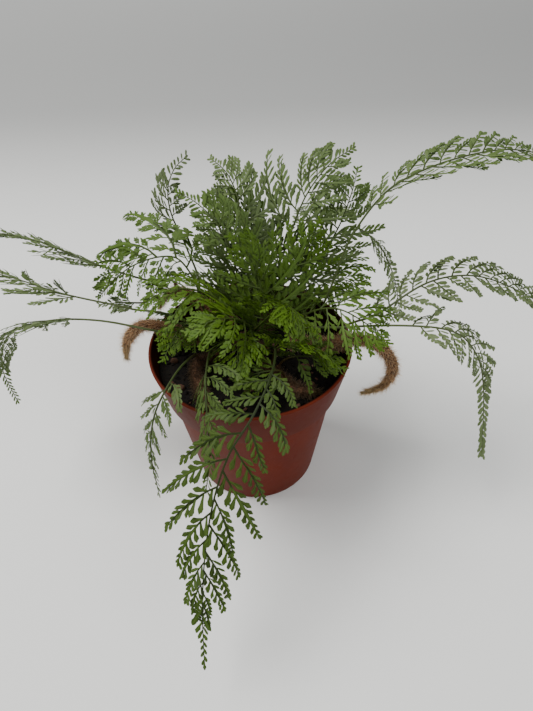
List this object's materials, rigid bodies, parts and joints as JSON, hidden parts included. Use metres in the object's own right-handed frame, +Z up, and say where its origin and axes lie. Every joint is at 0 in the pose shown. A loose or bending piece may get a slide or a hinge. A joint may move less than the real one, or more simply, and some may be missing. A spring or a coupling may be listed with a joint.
{
  "type": "potted rabbit's foot fern",
  "caption": "Rabbit's foot fern with feathery arching fronds on furry creeping rhizomes, in a round tapered plastic nursery pot.",
  "frame": {"origin": "middle of the pot's underside, on the surface that it stands on", "axes": "+Z up along the pot's axis; -Y towards the front, where the longest hanging frond comes over the rim; +X to the right"},
  "size_m": [0.3067, 0.2328, 0.1842],
  "materials": {
    "pot_plastic": "thin moulded plastic, satin, red-brown",
    "soil": "moist peaty mix with bark and white grains",
    "rhizome_fur": "brown stem under dense tan fur",
    "leaf": "thin satin leaf that lets some light through"
  },
  "bodies": {
    "root": {"pot": "pot_plastic", "soil": "soil", "rhizome_right": "rhizome_fur", "rhizome_left": "rhizome_fur", "rhizome_back_left": "rhizome_fur", "rhizome_front_left": "rhizome_fur", "rhizome_front_right": "rhizome_fur", "rhizome_back_right": "rhizome_fur", "rhizome_middle": "rhizome_fur", "frond_right_tall": "leaf", "frond_right_long": "leaf", "frond_right_drooping": "leaf", "frond_right_behind": "leaf", "frond_right_inner": "leaf", "frond_top": "leaf", "frond_top_middle": "leaf", "frond_top_right": "leaf", "frond_top_left": "leaf", "frond_back_left": "leaf", "frond_left_fan": "leaf", "frond_left_high": "leaf", "frond_left_middle": "leaf", "frond_left_small": "leaf", "frond_left_low": "leaf", "frond_left_inner": "leaf", "frond_front_left": "leaf", "frond_front_long": "leaf", "frond_front_thin": "leaf", "frond_front_right": "leaf", "frond_front_low": "leaf", "frond_middle_right": "leaf", "frond_middle_left": "leaf", "frond_middle_front": "leaf", "frond_middle_low": "leaf", "frond_middle_tall": "leaf", "frond_middle_back": "leaf", "frond_middle_low_right": "leaf", "frond_middle_wide": "leaf", "frond_middle_near": "leaf", "frond_back_right": "leaf", "frond_back": "leaf"}
  },
  "joints": []
}
